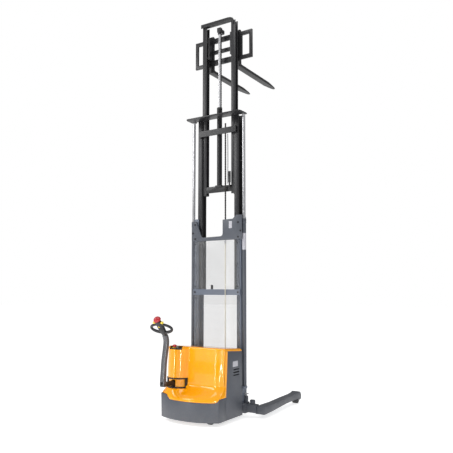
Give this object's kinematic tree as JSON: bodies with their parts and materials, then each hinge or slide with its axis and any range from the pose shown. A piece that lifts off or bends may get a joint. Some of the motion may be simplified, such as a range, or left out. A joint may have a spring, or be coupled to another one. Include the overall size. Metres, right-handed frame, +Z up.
{
  "type": "walkie straddle stacker",
  "caption": "Pedestrian straddle stacker: orange-hooded drive unit with tiller, three-stage mast raised, fork carriage and adjustable straddle legs.",
  "frame": {"origin": "on the floor, on the truck's centre line, midway between the rearmost point of the tiller and the front ends of the straddle legs", "axes": "+Z up, +Y forward along the forks, +X to the truck's right"},
  "size_m": [1.282, 2.1884, 5.2],
  "materials": {
    "orange_paint": "gloss",
    "grey_paint": "satin",
    "mast_paint": "satin",
    "black_paint": "satin",
    "black_plastic": "matte",
    "rubber": "matte",
    "wheel_tread": "matte",
    "red_plastic": "gloss",
    "yellow_plastic": "gloss",
    "chrome_rod": "polished",
    "bare_steel": "satin",
    "controller_metal": "satin",
    "clear_sheet": "clear",
    "hose_cover": "matte"
  },
  "bodies": {
    "chassis": {"chassis_frame": "grey_paint", "rear_skirt": "grey_paint", "side_panel_left": "grey_paint", "side_panel_right": "grey_paint", "hood": "orange_paint", "slot_trim": "rubber", "instrument_panel": "black_plastic", "battery_pack": "black_plastic", "hydraulic_power_pack": "black_paint", "motor_controller": "controller_metal", "leg_receiver": "grey_paint", "outer_upright_left": "mast_paint", "outer_upright_right": "mast_paint", "outer_top_plate": "grey_paint", "outer_mid_beam": "mast_paint", "outer_bottom_beam": "mast_paint", "guard_upper": "clear_sheet", "guard_lower": "clear_sheet", "side_cylinder_left": "mast_paint", "side_cylinder_right": "mast_paint", "mast_hose": "hose_cover", "stage_chain": "bare_steel"},
    "drive_unit": {"steering_head": "black_paint", "steering_drum": "orange_paint", "tiller_bracket": "black_paint", "traction_motor": "black_paint", "drive_gearbox": "bare_steel"},
    "drive_wheel": {"drive_wheel": "wheel_tread"},
    "tiller": {"tiller_arm": "grey_paint", "tiller_head": "black_plastic"},
    "belly_button": {"belly_button": "red_plastic"},
    "speed_butterfly": {"speed_butterfly": "yellow_plastic"},
    "horn_button": {"horn_button": "yellow_plastic"},
    "lift_rocker": {"lift_rocker": "black_plastic"},
    "estop_button": {"estop_button": "red_plastic"},
    "key_switch": {"key_switch": "bare_steel"},
    "caster_fork": {"caster_fork": "bare_steel"},
    "caster_wheel": {"caster_wheel": "wheel_tread"},
    "leg_left": {"leg_left": "grey_paint"},
    "leg_right": {"leg_right": "grey_paint"},
    "load_wheel_left": {"load_wheel_left": "wheel_tread"},
    "load_wheel_right": {"load_wheel_right": "wheel_tread"},
    "middle_mast": {"middle_upright_left": "black_paint", "middle_upright_right": "black_paint", "middle_crosshead": "black_paint", "middle_second_beam": "black_paint", "middle_bottom_beam": "black_paint", "side_rod_left": "chrome_rod", "side_rod_right": "chrome_rod"},
    "inner_mast": {"inner_upright_left": "black_paint", "inner_upright_right": "black_paint", "inner_top_bar": "black_paint", "inner_bottom_beam": "black_paint", "free_lift_cylinder": "black_paint", "anchor_chain": "bare_steel"},
    "free_lift_rod": {"free_lift_rod": "chrome_rod"},
    "chain_sheave": {"chain_sheave": "bare_steel"},
    "carriage": {"carriage_frame": "black_paint", "fork_left": "black_paint", "fork_right": "black_paint"}
  },
  "joints": [
    {"name": "steering", "type": "hinge", "parent": "chassis", "child": "drive_unit", "pos_m": [-0.24, -0.59669, 0.3], "axis": [0, 0, 1], "range_deg": [-44, 44]},
    {"name": "drive_wheel_spin", "type": "hinge", "parent": "drive_unit", "child": "drive_wheel", "pos_m": [-0.24, -0.59669, 0.115], "axis": [1, 0, 0], "continuous": true},
    {"name": "tiller_tilt", "type": "hinge", "parent": "drive_unit", "child": "tiller", "pos_m": [-0.24, -0.9287, 0.449], "axis": [1, 0, 0], "range_deg": [0, 80], "stiffness_Nm_per_rad": 35, "springref_deg": -17.19},
    {"name": "belly_press", "type": "slide", "parent": "tiller", "child": "belly_button", "axis": [0, 0.6293, -0.7771], "range_m": [0, 0.0055], "stiffness_N_per_m": 1500, "springref_m": -0.004},
    {"name": "speed_turn", "type": "hinge", "parent": "tiller", "child": "speed_butterfly", "pos_m": [-0.24, -1.02974, 1.17895], "axis": [1, 0, 0], "range_deg": [-20, 20], "stiffness_Nm_per_rad": 1.2},
    {"name": "horn_press", "type": "slide", "parent": "tiller", "child": "horn_button", "axis": [0, 0.7771, 0.6293], "range_m": [0, 0.003], "stiffness_N_per_m": 400, "springref_m": -0.002},
    {"name": "lift_rock", "type": "hinge", "parent": "tiller", "child": "lift_rocker", "pos_m": [-0.24, -0.98613, 1.09331], "axis": [1, 0, 0], "range_deg": [-8, 8], "stiffness_Nm_per_rad": 0.6},
    {"name": "estop_press", "type": "slide", "parent": "chassis", "child": "estop_button", "axis": [0, 0, -1], "range_m": [0, 0.005]},
    {"name": "key_turn", "type": "hinge", "parent": "chassis", "child": "key_switch", "pos_m": [-0.213, -0.6787, 0.86], "axis": [0, 0, 1], "range_deg": [-90, 0]},
    {"name": "caster_swivel", "type": "hinge", "parent": "chassis", "child": "caster_fork", "pos_m": [0.24, -0.60169, 0.25], "axis": [0, 0, 1], "continuous": true},
    {"name": "caster_spin", "type": "hinge", "parent": "caster_fork", "child": "caster_wheel", "pos_m": [0.24, -0.6367, 0.075], "axis": [1, 0, 0], "continuous": true},
    {"name": "leg_left_width", "type": "slide", "parent": "chassis", "child": "leg_left", "axis": [-1, 0, 0], "range_m": [-0.04, 0.1]},
    {"name": "leg_right_width", "type": "slide", "parent": "chassis", "child": "leg_right", "axis": [1, 0, 0], "range_m": [-0.04, 0.1]},
    {"name": "load_wheel_left_spin", "type": "hinge", "parent": "leg_left", "child": "load_wheel_left", "pos_m": [-0.539, 1.01831, 0.052], "axis": [1, 0, 0], "continuous": true},
    {"name": "load_wheel_right_spin", "type": "hinge", "parent": "leg_right", "child": "load_wheel_right", "pos_m": [0.539, 1.01831, 0.052], "axis": [1, 0, 0], "continuous": true},
    {"name": "middle_lift", "type": "slide", "parent": "chassis", "child": "middle_mast", "axis": [0, 0, 1], "range_m": [-1.3, 0], "deforming": ["stage_chain"]},
    {"name": "inner_lift", "type": "slide", "parent": "middle_mast", "child": "inner_mast", "axis": [0, 0, 1], "range_m": [-1.3, 0]},
    {"name": "rod_lift", "type": "slide", "parent": "inner_mast", "child": "free_lift_rod", "axis": [0, 0, 1], "range_m": [-0.955, 0], "deforming": ["anchor_chain"]},
    {"name": "chain_sheave_spin", "type": "hinge", "parent": "free_lift_rod", "child": "chain_sheave", "pos_m": [0, -0.02169, 5.06], "axis": [1, 0, 0], "range_deg": [-1720, 10]},
    {"name": "carriage_lift", "type": "slide", "parent": "free_lift_rod", "child": "carriage", "axis": [0, 0, 1], "range_m": [-0.955, 0]}
  ],
  "couplings": [
    {"joint": "inner_lift", "follows": "middle_lift", "ratio": 1},
    {"joint": "carriage_lift", "follows": "rod_lift", "ratio": 1},
    {"joint": "chain_sheave_spin", "follows": "rod_lift", "rad_per_m": 31.25}
  ]
}
